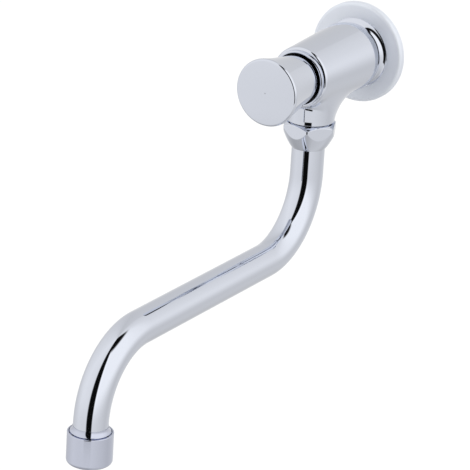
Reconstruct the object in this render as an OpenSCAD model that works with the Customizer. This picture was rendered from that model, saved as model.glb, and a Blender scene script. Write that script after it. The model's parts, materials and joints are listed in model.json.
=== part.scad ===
// Self-closing wall tap with a push button and a swivelling S-shaped spout.
// Millimetres. The wall is the plane y = 0, the tap stands out along -Y, and +Z is up.
// The origin is where the inlet's axis meets the wall.

/* [Wall flange] */
// Outside diameter of the wall flange
flange_d = 55.7; // [50:0.1:80]
// Height of the flange off the wall
flange_h = 4; // [3.5:0.1:8]
// Sheet thickness of the flange
flange_wall = 1.2; // [0.8:0.1:1.6]
// Radius of the flange's rounded rim
flange_rim_r = 1.8; // [1.7:0.1:2.5]
// Width of the foam gasket behind the flange
gasket_w = 3.4; // [2:0.1:5]

/* [Inlet] */
// Outside diameter of the inlet thread
inlet_d = 20.95; // [20.5:0.05:21]
// Length of the inlet thread behind the wall face
inlet_l = 16; // [12:0.5:30]
// Bore of the inlet
inlet_bore_d = 15; // [13:0.1:15.5]
// Throat between the inlet and the valve chamber
throat_d = 12.8; // [10:0.1:13]
// Length of the strainer
strainer_l = 3; // [2.5:0.1:3.5]
// Diameter of the strainer's holes
strainer_hole_d = 1; // [0.8:0.1:1.2]

/* [Valve body] */
// Distance of the body's front face from the wall
body_l = 64; // [62:0.5:100]
// Diameter of the body at its front
body_front_d = 33.5; // [32.8:0.1:36]
// Diameter of the body's cone at the flange
body_rear_d = 41.8; // [38:0.1:46]
// Radius of the body's front edge
front_edge_r = 1.6; // [0.6:0.1:1.6]
// Length of the bevel at the body's rear
rear_bevel_l = 4.7; // [2:0.1:8]
// Depth of the bevel at the body's rear
rear_bevel_drop = 1.5; // [0.5:0.1:2]

/* [Outlet] */
// Depth of the neck's lower edge under the body's axis
neck_low = 26.2; // [24:0.1:40]
// Radius of the neck's lower edge
neck_edge_r = 1.3; // [0.4:0.1:1.4]
// Blend radius between the neck and the body's sides
side_blend_r = 32; // [20:1:36]
// Blend radius between the neck and the body behind it
rear_blend_r = 13; // [6:0.5:16]
// Length of the threaded spigot
spigot_l = 9.3; // [8:0.1:14]
// Slope of the neck's sides, narrower downwards
neck_draft = 3; // [0:0.5:4]

/* [Cartridge] */
// Distance of the cartridge's rear seal from the wall
step_y = 21.6; // [21:0.1:23]
// Depth of the bezel thread in the body's front
bezel_depth = 8.5; // [8.2:0.1:8.7]
// Thickness of the cartridge's flange
cart_flange_t = 2.3; // [2:0.1:2.4]
// Thickness of the two flat cartridge seals
cart_seal_t = 1.2; // [1:0.1:1.3]
// Width of a gallery window
window_w = 7; // [5:0.5:8]
// Number of gallery windows
window_count = 4; // [2:1:5]

/* [Valve and piston] */
// Travel of the button
travel = 5.5; // [3:0.1:5.5]
// Length of the piston
piston_l = 5; // [4.6:0.1:5.2]
// Thickness of the valve washer
washer_t = 2; // [1.5:0.1:2.2]
// Wire of the return spring
spring_wire = 1.1; // [0.8:0.05:1.2]
// Free turns of the return spring
spring_turns = 7; // [5:1:9]
// Diameter of the timing pin
timing_pin_d = 1.2; // [0.8:0.1:1.4]

/* [Button] */
// Largest diameter of the button
button_d = 36.6; // [34:0.1:42]
// Length of the button's flare
flare_l = 29.6; // [27:0.1:40]
// Hollow of the flare against a straight cone
flare_sag = 0.42; // [0:0.02:0.5]
// Radius of the button's front edge
button_edge_r = 1.3; // [0.6:0.1:2]
// Rise of the button's domed face
button_dome = 0.8; // [0.4:0.1:2]

/* [Bezel ring] */
// Wall of the bezel ring
bezel_wall = 0.8; // [0.7:0.05:0.9]
// Height of the bezel ring in front of the body
bezel_h = 2.3; // [1.5:0.1:3]

/* [Union nut] */
// Height of the nut's hexagon and thread
nut_hex_h = 11.2; // [10.5:0.1:14]
// Whole height of the union nut
nut_h = 15.1; // [14.7:0.1:22]
// Height of the nut's cone for each millimetre of its radius
nut_cone_rise = 2.1; // [1:0.05:2.2]
// Angle at which the nut is tightened
nut_turn = -5; // [-30:1:30]

/* [Spout] */
// Outside diameter of the spout's tube
tube_d = 18; // [17:0.1:18.2]
// Wall of the spout's tube
tube_wall = 1; // [0.8:0.1:1.2]
// Reach from the swivel's axis to the nozzle's axis
reach = 200; // [150:1:300]
// Radius of the tube's bends
bend_r = 40; // [30:1:60]
// Straight length from the swivel collar to the first bend
top_leg = 19.4; // [12:0.1:60]
// Straight length from the second bend to the tube's end
end_leg = 7.3; // [6.5:0.1:40]

/* [Nozzle] */
// Height of the nozzle
nozzle_h = 17; // [16:0.1:24]
// Radius of the nozzle's lower edge
nozzle_edge_r = 2.2; // [0.8:0.1:2.4]
// Width of a cell in the aerator's grid
cell_w = 2.3; // [1.8:0.1:3.5]
// Thickness of the bars in the aerator's grid
cell_bar = 0.5; // [0.4:0.1:0.8]

/* [Hidden] */

chrome = [0.82, 0.84, 0.87];
brass = [0.78, 0.62, 0.33];
steel = [0.66, 0.67, 0.69];
rubber = [0.1, 0.1, 0.11];
white_plastic = [0.93, 0.93, 0.9];
grey_plastic = [0.62, 0.65, 0.68];
black_plastic = [0.08, 0.08, 0.085];
foam = [0.3, 0.3, 0.31];

// Fits
play = 0.05;
thread_play = 0.05;
joint_gap = 0.1;
loose = 0.3;
fine = 72;
arc_steps = 8;

// Diameters in the body's front, from the outside inwards
front_wall = 1.75;
button_gap = 0.9;
bezel_d = body_front_d - 2 * front_wall;
bezel_bore_d = bezel_d - 2 * bezel_wall;
shank_d = bezel_bore_d - 2 * button_gap;
cap_hollow_d = shank_d - 3.6;
cart_flange_d = bezel_d - 0.3;
cart_d = 0.83 * bezel_d;
cylinder_d = 0.64 * bezel_d;
chamber_d = cart_d - 4.9;
washer_d = 0.75 * chamber_d;
seat_d = cylinder_d - 8.8;
spindle_d = cylinder_d * 5 / 16;
spring_d = spindle_d + 4.2;
body_bore_d = cart_d + 2 * play;
front_bore_d = bezel_d + 2 * thread_play;

// Diameters of the outlet, from the spout's tube outwards
spigot_d = tube_d + 4;
neck_d = spigot_d + 3.8;
neck_bore_d = tube_d - 2;
port_d = tube_d / 2;
nut_af = spigot_d + 5;
nozzle_thread_d = tube_d + 4;
nozzle_d = nozzle_thread_d + 1.7;

// Barrel stations, measured out from the wall
shoulder_y = body_l - bezel_depth;
cart_rear_y = step_y + cart_seal_t;
cart_flange_y = shoulder_y + cart_seal_t;
cart_front_y = cart_flange_y + cart_flange_t;
seat_wall = 2.5;
seat_lip = 1;
seat_y = cart_rear_y - seat_lip;
gallery_y = cart_rear_y + seat_wall;
cylinder_end_y = cart_flange_y + 0.3;
window_l = 0.4 * (shoulder_y - gallery_y);
outlet_back = neck_d / 2 + front_edge_r + 0.3;
outlet_y = body_l - outlet_back;

// Piston, spindle and button stations
piston_front_y = cylinder_end_y - 1;
piston_rear_y = piston_front_y - piston_l;
stop_collar_t = 0.8;
stop_collar_d = spindle_d + 2.6;
washer_y = seat_y - play;
disc_t = 2;
disc_rim = 1;
valve_nut_h = 3;
valve_nut_af = spindle_d + 1;
valve_thread_d = spindle_d - 2;
valve_tail = 0.8;
disc_y = washer_y - washer_t - disc_t;
valve_nut_y = disc_y - valve_nut_h;
spindle_rear_y = valve_nut_y - valve_tail;
chamber_y = spindle_rear_y - travel;
gland_hex_af = cylinder_d - 0.2;
gland_hex_h = 2;
gland_neck_l = 4.5;
gland_hex_y = cylinder_end_y + gland_neck_l;
gland_front_y = gland_hex_y + gland_hex_h;
button_rear_y = cart_front_y + travel + 0.5;
flare_y = body_l + 3;
flare_end_y = flare_y + flare_l;
button_face_y = flare_end_y + button_edge_r;
cap_front_t = 6;
core_end_y = button_face_y - cap_front_t;
locknut_h = 2.4;
locknut_af = spindle_d + 4;
core_y = gland_front_y + travel + 0.7 + locknut_h;
spindle_grip = 12;
spindle_front_y = core_y + spindle_grip;
circlip_t = 0.7;
circlip_d = spindle_d + 2.4;
circlip_groove = 0.45;
spring_y = gallery_y + 0.1;

// Outlet stations, measured down from the body's axis
neck_r = neck_d / 2;
spigot_z = -neck_low - spigot_l;
nut_groove = 0.8;
nut_top_z = -neck_low - nut_groove;
nut_low_z = nut_top_z - nut_h;
nut_shoulder_z = nut_top_z - nut_hex_h;
slip_t = 0.8;
slip_z = nut_shoulder_z + slip_t;
collar_low_z = slip_z + joint_gap;
collar_top_z = spigot_z - joint_gap;
nose_l = 17;
nose_top_z = collar_top_z + nose_l;
neck_bore_z = nose_top_z + 3;
bend1_z = collar_low_z - top_leg;
run_z = bend1_z - bend_r;
bend2_z = run_z - bend_r;
tube_end_z = bend2_z - end_leg;
nozzle_y = outlet_y + reach;
tube_r = tube_d / 2;
tube_bore_r = tube_r - tube_wall;
o_ring_wire = 1.45;
o_ring_steps = [5, 12];
groove_w = 2.2;
sleeve_l = 10;

// Nozzle stations, measured up and down from the tube's end
end_lip_l = 3;
end_face_z = tube_end_z - end_lip_l;
nozzle_top_z = end_face_z + 0.42 * nozzle_h;
nozzle_low_z = nozzle_top_z - nozzle_h;
nozzle_washer_t = 0.07 * nozzle_h;
housing_top_z = end_face_z - nozzle_washer_t - play;
housing_flange_t = 1.3;
ledge_z = housing_top_z - housing_flange_t;
housing_d = nozzle_d - 3.3;
mouth_d = housing_d - 1.6;
mouth_lip = 0.095 * nozzle_h;
housing_low_z = nozzle_low_z + mouth_lip + play;
housing_wall = 1.1;
grid_h = 1.6;
screen_depth = 1;
screen_t = 0.5;
nozzle_rim_r = 0.4;

// Half-width of the body's cone at a distance from the wall
function cone_r(y) = (body_rear_d + (body_front_d - body_rear_d) * (y - flange_h) / (body_l - flange_h)) / 2;

// Points along an arc about c from angle a to angle b
function arc(c, r, a, b) = [for (i = [0:arc_steps]) let (w = a + (b - a) * i / arc_steps)
    c + r * [cos(w), sin(w)]];

// Turns children that were drawn along +Z so that they stand out of the wall
module barrel() {
    rotate([90, 0, 0]) children();
}

// Puts children on the outlet's and swivel's vertical axis
module outlet() {
    translate([0, -outlet_y, 0]) children();
}

// Puts children on the nozzle's vertical axis
module mouth() {
    translate([0, -nozzle_y, 0]) children();
}

module turned(points) {
    rotate_extrude($fn = fine) polygon(points);
}

// Plain ring or tube between two heights
module ring(inner_d, outer_d, low, high) {
    turned([[inner_d / 2, low], [outer_d / 2, low], [outer_d / 2, high], [inner_d / 2, high]]);
}

module hole(d, low, high) {
    translate([0, 0, low]) cylinder(d = d, h = high - low, $fn = fine);
}

// Hexagonal nut blank with a chamfered end
module hex_blank(af, low, high) {
    corner_r = af / 2 / cos(30);
    intersection() {
        translate([0, 0, low]) cylinder(r = corner_r, h = high - low, $fn = 6);
        turned([[0, low], [af / 2, low], [corner_r + 0.1, low + 0.7], [corner_r + 0.1, high - 0.7],
                [af / 2, high], [0, high]]);
    }
}

// Wall flange: a spun dish that covers the hole in the wall
module wall_flange() {
    rim_in = max(flange_rim_r - flange_wall, 0.2);
    hole_r = inlet_d / 2 + loose;
    outer = arc([flange_d / 2 - flange_rim_r, flange_h - flange_rim_r], flange_rim_r, 0, 90);
    inner = arc([flange_d / 2 - flange_wall - rim_in, flange_h - flange_wall - rim_in], rim_in, 90, 0);
    color(chrome) barrel() turned(concat([[flange_d / 2, 0]], outer, [[hole_r, flange_h]],
        [[hole_r, flange_h - flange_wall]], inner, [[flange_d / 2 - flange_wall, 0]]));
}

module flange_gasket() {
    outer_d = flange_d - 2 * flange_wall - 1.4;
    color(foam) barrel() ring(outer_d - 2 * gasket_w, outer_d, 0, flange_h - flange_wall);
}

// The blend's radius at azimuth a, which runs from +X and is 90 on the side towards the wall
function free_blend_r(a) = side_blend_r * pow(cos(a), 2) + rear_blend_r * pow(sin(a), 2);
// In front, the blend stays behind the body's front edge
function front_blend_r(a) = max((outlet_back - front_edge_r) / max(-sin(a), 0.01) - neck_r, 0.2);
function blend_r(a) = pow(pow(free_blend_r(a), -3) + pow(front_blend_r(a), -3), -1 / 3);
cone_slope = atan((body_rear_d - body_front_d) / 2 / (body_l - flange_h));
blend_sink = 0.04;
blend_sides = 72;
blend_steps = 9;
blend_low_z = neck_edge_r - neck_low;

// Centre of the ball that rolls between the neck and the cone at azimuth a
function ball_xy(a) = (neck_r + blend_r(a)) * [cos(a), sin(a)];
function ball_rho(a) = cone_r(outlet_y - ball_xy(a)[1]) - blend_sink + blend_r(a) / cos(cone_slope);
function ball_z(a) = -sqrt(pow(ball_rho(a), 2) - pow(ball_xy(a)[0], 2));

// Unit directions from the ball's centre to the neck and to the cone, and the angle between them
function to_neck(a) = [-cos(a), -sin(a), 0];
function to_cone(a) = [-ball_xy(a)[0] / ball_rho(a) * cos(cone_slope), sin(cone_slope),
    -ball_z(a) / ball_rho(a) * cos(cone_slope)];
function blend_span(a) = acos(to_neck(a) * to_cone(a));
function blend_start(a) = ball_z(a) > blend_low_z ? 0
    : asin((blend_low_z - ball_z(a)) * sin(blend_span(a)) / (blend_r(a) * to_cone(a)[2]));

// Point of the blend at azimuth a and share t of its arc
function blend_turn(a, t) = blend_start(a) + (blend_span(a) - blend_start(a)) * t;
function blend_normal(a, w) = (sin(blend_span(a) - w) * to_neck(a) + sin(w) * to_cone(a))
    / sin(blend_span(a));
function rolled_point(a, t) = [ball_xy(a)[0], ball_xy(a)[1], ball_z(a)]
    + blend_r(a) * blend_normal(a, blend_turn(a, t));

// The same with the draft of the neck's sides, which fades out towards the cone
function draft_step(p, t) = tan(neck_draft) * max(p[2] - blend_low_z, 0) * pow(1 - t, 2);
function blend_point(a, t) = let (p = rolled_point(a, t))
    p + draft_step(p, t) * [cos(a), sin(a), 0];

// Lower edge of the neck, rounded in under the blend's first point
function edge_point(a, w) = let (p = rolled_point(a, 0), r = norm([p[0], p[1]]))
    [cos(a) * (r - neck_edge_r * (1 - cos(w))), sin(a) * (r - neck_edge_r * (1 - cos(w))),
     blend_low_z - neck_edge_r * sin(w)];

// The cast blend that carries the barrel's sides down into the outlet neck
module neck_blend() {
    edge_steps = 4;
    edge = [for (k = [edge_steps:-1:0]) [for (i = [0:blend_sides - 1])
        edge_point(i * 360 / blend_sides, 90 * k / edge_steps)]];
    sweep = [for (k = [0:blend_steps]) [for (i = [0:blend_sides - 1])
        blend_point(i * 360 / blend_sides, k / blend_steps)]];
    core = [for (p = sweep[blend_steps]) [p[0] * 0.8, p[1] * 0.9, p[2] * 0.8]];
    rings = concat(edge, sweep, [core]);
    n = blend_sides;
    points = concat([for (r = rings) for (p = r) p], [[0, 0, -neck_low], [0, 0, -body_front_d / 5]]);
    last = len(rings) - 1;
    skin = [for (k = [0:last - 1]) for (i = [0:n - 1]) for (f = [
        [k * n + i, (k + 1) * n + i, (k + 1) * n + (i + 1) % n],
        [k * n + i, (k + 1) * n + (i + 1) % n, k * n + (i + 1) % n]]) f];
    low_cap = [for (i = [0:n - 1]) [len(points) - 2, i, (i + 1) % n]];
    top_cap = [for (i = [0:n - 1]) [len(points) - 1, last * n + (i + 1) % n, last * n + i]];
    polyhedron(points = points, faces = concat(skin, low_cap, top_cap), convexity = 6);
}

// Outline of the cast barrel with its inlet spigot
function barrel_outline() = concat(
    [[0, -inlet_l], [inlet_d / 2 - 1, -inlet_l], [inlet_d / 2, 1 - inlet_l]],
    [[inlet_d / 2, flange_h - flange_wall - 0.2], [inlet_d / 2 - 1.1, flange_h - flange_wall - 0.2]],
    [[inlet_d / 2 - 1.1, flange_h], [cone_r(flange_h) - rear_bevel_drop - 0.8, flange_h]],
    [[cone_r(flange_h) - rear_bevel_drop - 0.8, flange_h + 0.4]],
    [[cone_r(flange_h) - rear_bevel_drop - 0.3, flange_h + 0.5]],
    [[cone_r(flange_h + 0.5 + rear_bevel_l), flange_h + 0.5 + rear_bevel_l]],
    arc([cone_r(body_l - front_edge_r) - front_edge_r, body_l - front_edge_r], front_edge_r, 4, 90),
    [[0, body_l]]);

module valve_body() {
    color(chrome) difference() {
        union() {
            barrel() turned(barrel_outline());
            outlet() neck_blend();
            outlet() hole(spigot_d, spigot_z, -neck_low + 2);
        }
        barrel() hole(inlet_bore_d, -inlet_l - 1, flange_h);
        barrel() hole(throat_d, flange_h - 1, chamber_y + 1);
        barrel() hole(chamber_d, chamber_y, step_y + 1);
        barrel() hole(body_bore_d, step_y, shoulder_y + 1);
        barrel() hole(front_bore_d, shoulder_y, body_l + 1);
        outlet() hole(port_d, neck_bore_z - 1, -cylinder_d / 2);
        outlet() hole(neck_bore_d, spigot_z - 1, neck_bore_z);
    }
}

// Moulded strainer in the inlet
module inlet_strainer() {
    outer_d = inlet_bore_d - 2 * play;
    low = flange_h - strainer_l;
    pitch = strainer_hole_d + 0.6;
    rings = floor((throat_d / 2 - strainer_hole_d) / pitch);
    color(white_plastic) barrel() difference() {
        hole(outer_d, low, flange_h);
        hole(throat_d - 1, low - 1, low + strainer_l / 2);
        hole(throat_d - 1, low + strainer_l / 2 + 0.6, flange_h + 1);
        for (k = [0:rings]) {
            for (i = [0:max(6 * k, 1) - 1]) {
                rotate(i * 60 / max(k, 1)) translate([k * pitch * 0.9, 0, low])
                    cylinder(d = strainer_hole_d, h = strainer_l, $fn = 16);
            }
        }
    }
}

// Moulded cartridge with its valve seat, gallery windows and timing cylinder
module cartridge() {
    r = cart_d / 2;
    waist_r = r - 1.2;
    seat_r = seat_d / 2;
    bore_r = cylinder_d / 2;
    nose_r = bore_r + 1.6;
    window_y = gallery_y + 3;
    color(black_plastic) barrel() difference() {
        turned([[seat_r, seat_y], [seat_r + 1, seat_y], [seat_r + 1.4, cart_rear_y], [r, cart_rear_y],
                [r, gallery_y + 2], [waist_r, gallery_y + 3],
                [waist_r, shoulder_y - 2], [r, shoulder_y - 1.2],
                [r, cart_flange_y], [cart_flange_d / 2, cart_flange_y],
                [cart_flange_d / 2, cart_front_y], [nose_r, cart_front_y],
                [nose_r, gland_hex_y], [bore_r, gland_hex_y],
                [bore_r, gallery_y], [seat_r, gallery_y]]);
        for (i = [0:window_count - 1]) {
            rotate(45 + i * 360 / window_count) window(window_y);
        }
    }
}

// Cutter for one round-ended window of the cartridge
module window(low) {
    depth = cart_d;
    translate([0, 0, low + window_w / 2]) rotate([0, 90, 0]) cylinder(d = window_w, h = depth, $fn = 48);
    translate([0, 0, low + window_l]) rotate([0, 90, 0]) cylinder(d = window_w, h = depth, $fn = 48);
    translate([0, -window_w / 2, low + window_w / 2]) cube([depth, window_w, window_l - window_w / 2]);
}

module cartridge_rear_seal() {
    color(rubber) barrel() ring(chamber_d + 1, cart_d - 0.2, step_y, cart_rear_y);
}

module cartridge_front_seal() {
    color(rubber) barrel() ring(body_bore_d + 0.4, cart_flange_d - 0.2, shoulder_y, cart_flange_y);
}

// Nut that closes the timing cylinder and guides the spindle
module gland_nut() {
    color(brass) barrel() difference() {
        union() {
            hole(cylinder_d - 2 * thread_play, cylinder_end_y, gland_hex_y);
            hex_blank(gland_hex_af, gland_hex_y, gland_front_y);
        }
        hole(spindle_d + 2 * play, cylinder_end_y - 1, gland_front_y + 1);
        hole(spindle_seal_d, cylinder_end_y - 1, cylinder_end_y + spindle_seal_t);
        translate([timing_x, 0, 0]) hole(timing_pin_d + play, cylinder_end_y - 1, timing_front_y);
    }
}
spindle_seal_d = spindle_d + 4.2;
spindle_seal_t = 2.2;
timing_x = cylinder_d / 2 - 3;
timing_front_y = cylinder_end_y + 3;
timing_rear_y = piston_rear_y - 1.5;

// Lip seal on the spindle
module spindle_seal() {
    r = spindle_d / 2 + 0.03;
    out_r = spindle_seal_d / 2 - play;
    low = cylinder_end_y + play;
    high = cylinder_end_y + spindle_seal_t;
    color(rubber) barrel() turned([[r, low], [r + 0.6, low], [r + 0.9, high - 1], [out_r - 0.9, high - 1],
        [out_r - 0.6, low], [out_r, low], [out_r, high], [r, high]]);
}

// Calibrated pin that meters the water through the piston
module timing_pin() {
    color(steel) barrel() translate([timing_x, 0, 0]) hole(timing_pin_d, timing_rear_y, timing_front_y);
}

// Threaded ring that clamps the cartridge and guides the button
module bezel_ring() {
    bore_r = bezel_bore_d / 2;
    lip_r = bezel_d / 2 + 0.2;
    top = body_l + bezel_h;
    w = (lip_r - bore_r) / 2;
    color(chrome) barrel() turned(concat(
        [[bore_r, cart_front_y + play], [bezel_d / 2, cart_front_y + play]],
        [[bezel_d / 2, body_l], [lip_r, body_l + 0.1]],
        arc([lip_r - w, top - 2 * w], 2 * w, 60, 90),
        arc([bore_r + w / 2, top - w / 2], w / 2, 90, 180)));
}

// Union nut of the swivel: a hexagon that runs out into a long cone
module union_nut() {
    corner_r = nut_af / 2 / cos(30);
    tip_r = tube_r + 0.5;
    cone_top_z = nut_low_z + (corner_r - tip_r) * nut_cone_rise;
    color(chrome) outlet() difference() {
        intersection() {
            rotate(nut_turn) translate([0, 0, nut_low_z]) cylinder(r = corner_r, h = nut_h, $fn = 6);
            turned([[0, nut_low_z], [tip_r, nut_low_z],
                    [corner_r + 0.1, cone_top_z], [corner_r + 0.1, nut_top_z - 1.4],
                    [nut_af / 2 - 0.5, nut_top_z], [0, nut_top_z]]);
        }
        hole(spigot_d + 2 * thread_play, nut_shoulder_z, nut_top_z + 1);
        hole(tube_d + 2 * loose, nut_low_z - 1, nut_shoulder_z + 1);
    }
}

// Plastic ring on which the spout's collar turns
module slip_ring() {
    color(white_plastic) outlet() ring(tube_d + 2 * loose, spigot_d - 0.2, nut_shoulder_z, slip_z);
}

// Point of the spring's wire centre at share t of its length
function spring_angle(t) = 360 * (spring_turns + 2) * t;
function spring_height(t) = let (n = spring_turns + 2, k = t * n, flat = spring_wire / 2,
    rise = piston_rear_y - 0.1 - spring_y - 3 * spring_wire)
    flat + (k < 1 ? k * spring_wire : k > n - 1 ? spring_wire + rise + (k - n + 1) * spring_wire
        : spring_wire + rise * (k - 1) / (n - 2));

// Return spring between the seat wall and the piston
module return_spring() {
    sides = 8;
    steps = 16 * (spring_turns + 2);
    points = [for (i = [0:steps]) let (a = spring_angle(i / steps), h = spring_height(i / steps))
        for (k = [0:sides - 1]) let (w = 360 * k / sides, r = spring_d / 2 + spring_wire / 2 * cos(w))
            [r * cos(a), r * sin(a), spring_y + h + spring_wire / 2 * sin(w)]];
    skin = [for (i = [0:steps - 1]) for (k = [0:sides - 1]) for (f = [
        [i * sides + k, (i + 1) * sides + k, (i + 1) * sides + (k + 1) % sides],
        [i * sides + k, (i + 1) * sides + (k + 1) % sides, i * sides + (k + 1) % sides]]) f];
    start = [for (k = [0:sides - 1]) k];
    end = [for (k = [sides - 1:-1:0]) steps * sides + k];
    color(steel) barrel() polyhedron(points = points, faces = concat(skin, [start, end]), convexity = 10);
}

// Half-width of the button's flare at share t of its length
function flare_r(t) = (shank_d + (button_d - shank_d) * t) / 2 - 4 * flare_sag * t * (1 - t);

// Chromed cap that the hand pushes
module push_button() {
    rim_r = button_d / 2 - button_edge_r;
    dome_r = (rim_r * rim_r + button_dome * button_dome) / 2 / button_dome;
    dome_a = asin(rim_r / dome_r);
    flare = [for (i = [0:12]) [flare_r(i / 12), flare_y + flare_l * i / 12]];
    color(chrome) barrel() difference() {
        turned(concat([[0, button_rear_y], [shank_d / 2, button_rear_y]], flare,
            arc([rim_r, flare_end_y], button_edge_r, 0, 90 - dome_a),
            arc([0, button_face_y + button_dome - dome_r], dome_r, 90 - dome_a, 90)));
        hole(cap_hollow_d, button_rear_y - 1, core_end_y);
    }
}

// Moulded core that joins the cap to the spindle
module button_core() {
    pocket_d = 0.19 * cap_hollow_d;
    color(grey_plastic) barrel() difference() {
        hole(cap_hollow_d - 2 * play, core_y, core_end_y);
        hole(spindle_d + 2 * play, core_y - 1, spindle_front_y);
        for (i = [0:5]) {
            rotate(30 + 60 * i) translate([cap_hollow_d / 3, 0, 0])
                hole(pocket_d, core_y - 1, core_end_y - 2);
        }
    }
}

// Stainless spindle that joins the button, the piston and the valve
module spindle() {
    r = spindle_d / 2;
    tail_r = valve_thread_d / 2;
    color(steel) barrel() turned([
        [0, spindle_rear_y], [tail_r - 0.4, spindle_rear_y], [tail_r, spindle_rear_y + 0.4],
        [tail_r, washer_y], [r, washer_y], [r, piston_rear_y - circlip_t - 0.1],
        [r - circlip_groove, piston_rear_y - circlip_t - 0.1], [r - circlip_groove, piston_rear_y],
        [r, piston_rear_y], [r, piston_front_y], [stop_collar_d / 2, piston_front_y],
        [stop_collar_d / 2, piston_front_y + stop_collar_t], [r, piston_front_y + stop_collar_t],
        [r, spindle_front_y - 0.5], [r - 0.5, spindle_front_y], [0, spindle_front_y]]);
}

module spindle_locknut() {
    color(brass) barrel() difference() {
        hex_blank(locknut_af, core_y - locknut_h, core_y);
        hole(spindle_d + 2 * play, core_y - locknut_h - 1, core_y + 1);
    }
}

// Piston that sucks water in behind it and lets it out slowly
module piston() {
    groove_low = piston_rear_y + 1;
    groove_high = piston_front_y - 1;
    color(white_plastic) barrel() difference() {
        turned([[spindle_d / 2 + 0.03, piston_rear_y], [cylinder_d / 2 - play, piston_rear_y],
                [cylinder_d / 2 - play, groove_low], [cylinder_d / 2 - 2, groove_low],
                [cylinder_d / 2 - 2, groove_high], [cylinder_d / 2 - play, groove_high],
                [cylinder_d / 2 - play, piston_front_y], [spindle_d / 2 + 0.03, piston_front_y]]);
        translate([timing_x, 0, 0]) hole(timing_pin_d + 4 * play, piston_rear_y - 1, piston_front_y + 1);
    }
}

module piston_lip_seal() {
    low = piston_rear_y + 1 + play;
    high = piston_front_y - 1 - play;
    r = cylinder_d / 2 - 2 + play;
    out_r = cylinder_d / 2 - 0.04;
    color(rubber) barrel() turned([[r, low], [out_r - 0.5, low], [out_r, high], [out_r - 0.6, high],
        [out_r - 0.9, low + 1.2], [r + 0.5, low + 1.2], [r + 0.5, high], [r, high]]);
}

// Open clip that keeps the piston on the spindle
module circlip() {
    low = piston_rear_y - circlip_t;
    color(steel) barrel() difference() {
        ring(spindle_d - 2 * circlip_groove + 0.06, circlip_d, low, piston_rear_y);
        rotate(20) translate([0, -spindle_d / 4, low - 1]) cube([circlip_d, spindle_d / 2, circlip_t + 2]);
    }
}

module valve_disc() {
    tail_d = valve_thread_d + 2 * play;
    rim_r = washer_d / 2 + play;
    color(brass) barrel() turned([[tail_d / 2, disc_y], [rim_r + 0.2, disc_y], [rim_r + 0.7, disc_y + 0.5],
        [rim_r + 0.7, disc_y + disc_t + disc_rim], [rim_r, disc_y + disc_t + disc_rim],
        [rim_r, disc_y + disc_t], [tail_d / 2, disc_y + disc_t]]);
}

module valve_washer() {
    color(rubber) barrel() ring(valve_thread_d + 2 * play, washer_d, disc_y + disc_t, washer_y);
}

module valve_nut() {
    color(brass) barrel() difference() {
        hex_blank(valve_nut_af, valve_nut_y, disc_y);
        hole(valve_thread_d + 2 * play, valve_nut_y - 1, disc_y + 1);
    }
}

// Solid that follows the spout's path with radius r, and runs past both ends by over
module spout_path(r, over) {
    run_l = reach - 2 * bend_r;
    translate([0, -outlet_y, bend1_z]) cylinder(r = r, h = top_leg + over, $fn = fine);
    translate([0, -outlet_y - bend_r, bend1_z]) rotate([90, 0, 90])
        rotate_extrude(angle = -90, $fn = 4 * fine) translate([bend_r, 0]) circle(r = r, $fn = fine);
    translate([0, -outlet_y - bend_r, run_z]) rotate([90, 0, 0]) cylinder(r = r, h = run_l, $fn = fine);
    translate([0, -nozzle_y + bend_r, bend2_z]) rotate([90, 0, 90])
        rotate_extrude(angle = -90, $fn = 4 * fine) translate([-bend_r, 0]) circle(r = r, $fn = fine);
    translate([0, -nozzle_y, tube_end_z - over]) cylinder(r = r, h = end_leg + over, $fn = fine);
}

// Bent tube of the spout
module spout_tube() {
    color(chrome) difference() {
        spout_path(tube_r, 0);
        spout_path(tube_bore_r, 1);
    }
}

// Turned collar that turns in the neck, with grooves for two seals
module spout_collar() {
    nose_r = neck_bore_d / 2 - play;
    sleeve_r = tube_bore_r - play;
    bore_r = nose_r - 2.65;
    flange_r = spigot_d / 2 - 0.4;
    groove_r = nose_r - o_ring_wire;
    half = groove_w / 2;
    grooves = [for (s = o_ring_steps) for (p = [
        [nose_r, s - half], [groove_r, s - half], [groove_r, s + half], [nose_r, s + half]])
        [p[0], collar_top_z + p[1]]];
    color(brass) outlet() turned(concat(
        [[bore_r, collar_low_z - sleeve_l], [sleeve_r, collar_low_z - sleeve_l], [sleeve_r, collar_low_z]],
        [[flange_r, collar_low_z], [flange_r, collar_top_z], [nose_r, collar_top_z]], grooves,
        [[nose_r, nose_top_z - 0.8], [nose_r - 0.8, nose_top_z], [bore_r, nose_top_z]]));
}

// The two seals of the swivel
module spout_o_rings() {
    r = neck_bore_d / 2 - 0.03 - o_ring_wire / 2;
    color(rubber) outlet() for (s = o_ring_steps) {
        translate([0, 0, collar_top_z + s])
            rotate_extrude($fn = fine) translate([r, 0]) circle(d = o_ring_wire, $fn = 24);
    }
}

// Threaded end on the tube, which flares out like a trumpet above the nozzle
module spout_end() {
    thread_r = nozzle_thread_d / 2 - thread_play;
    neck = thread_r - 0.65;
    bell_l = 0.19 * nozzle_h;
    bell_top_z = nozzle_top_z + bell_l;
    top_r = tube_r + 0.15;
    sweep = 50;
    bell_r = (neck + 0.2 - top_r) / (1 - cos(sweep));
    color(chrome) mouth() turned(concat([[tube_r + play, bell_top_z]],
        arc([top_r + bell_r, bell_top_z], bell_r, 180, 180 + sweep),
        [[neck, nozzle_top_z], [neck, nozzle_top_z - 0.9], [thread_r, nozzle_top_z - 1.4],
        [thread_r, end_face_z], [tube_bore_r, end_face_z], [tube_bore_r, tube_end_z],
        [tube_r + play, tube_end_z]]));
}

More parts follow.
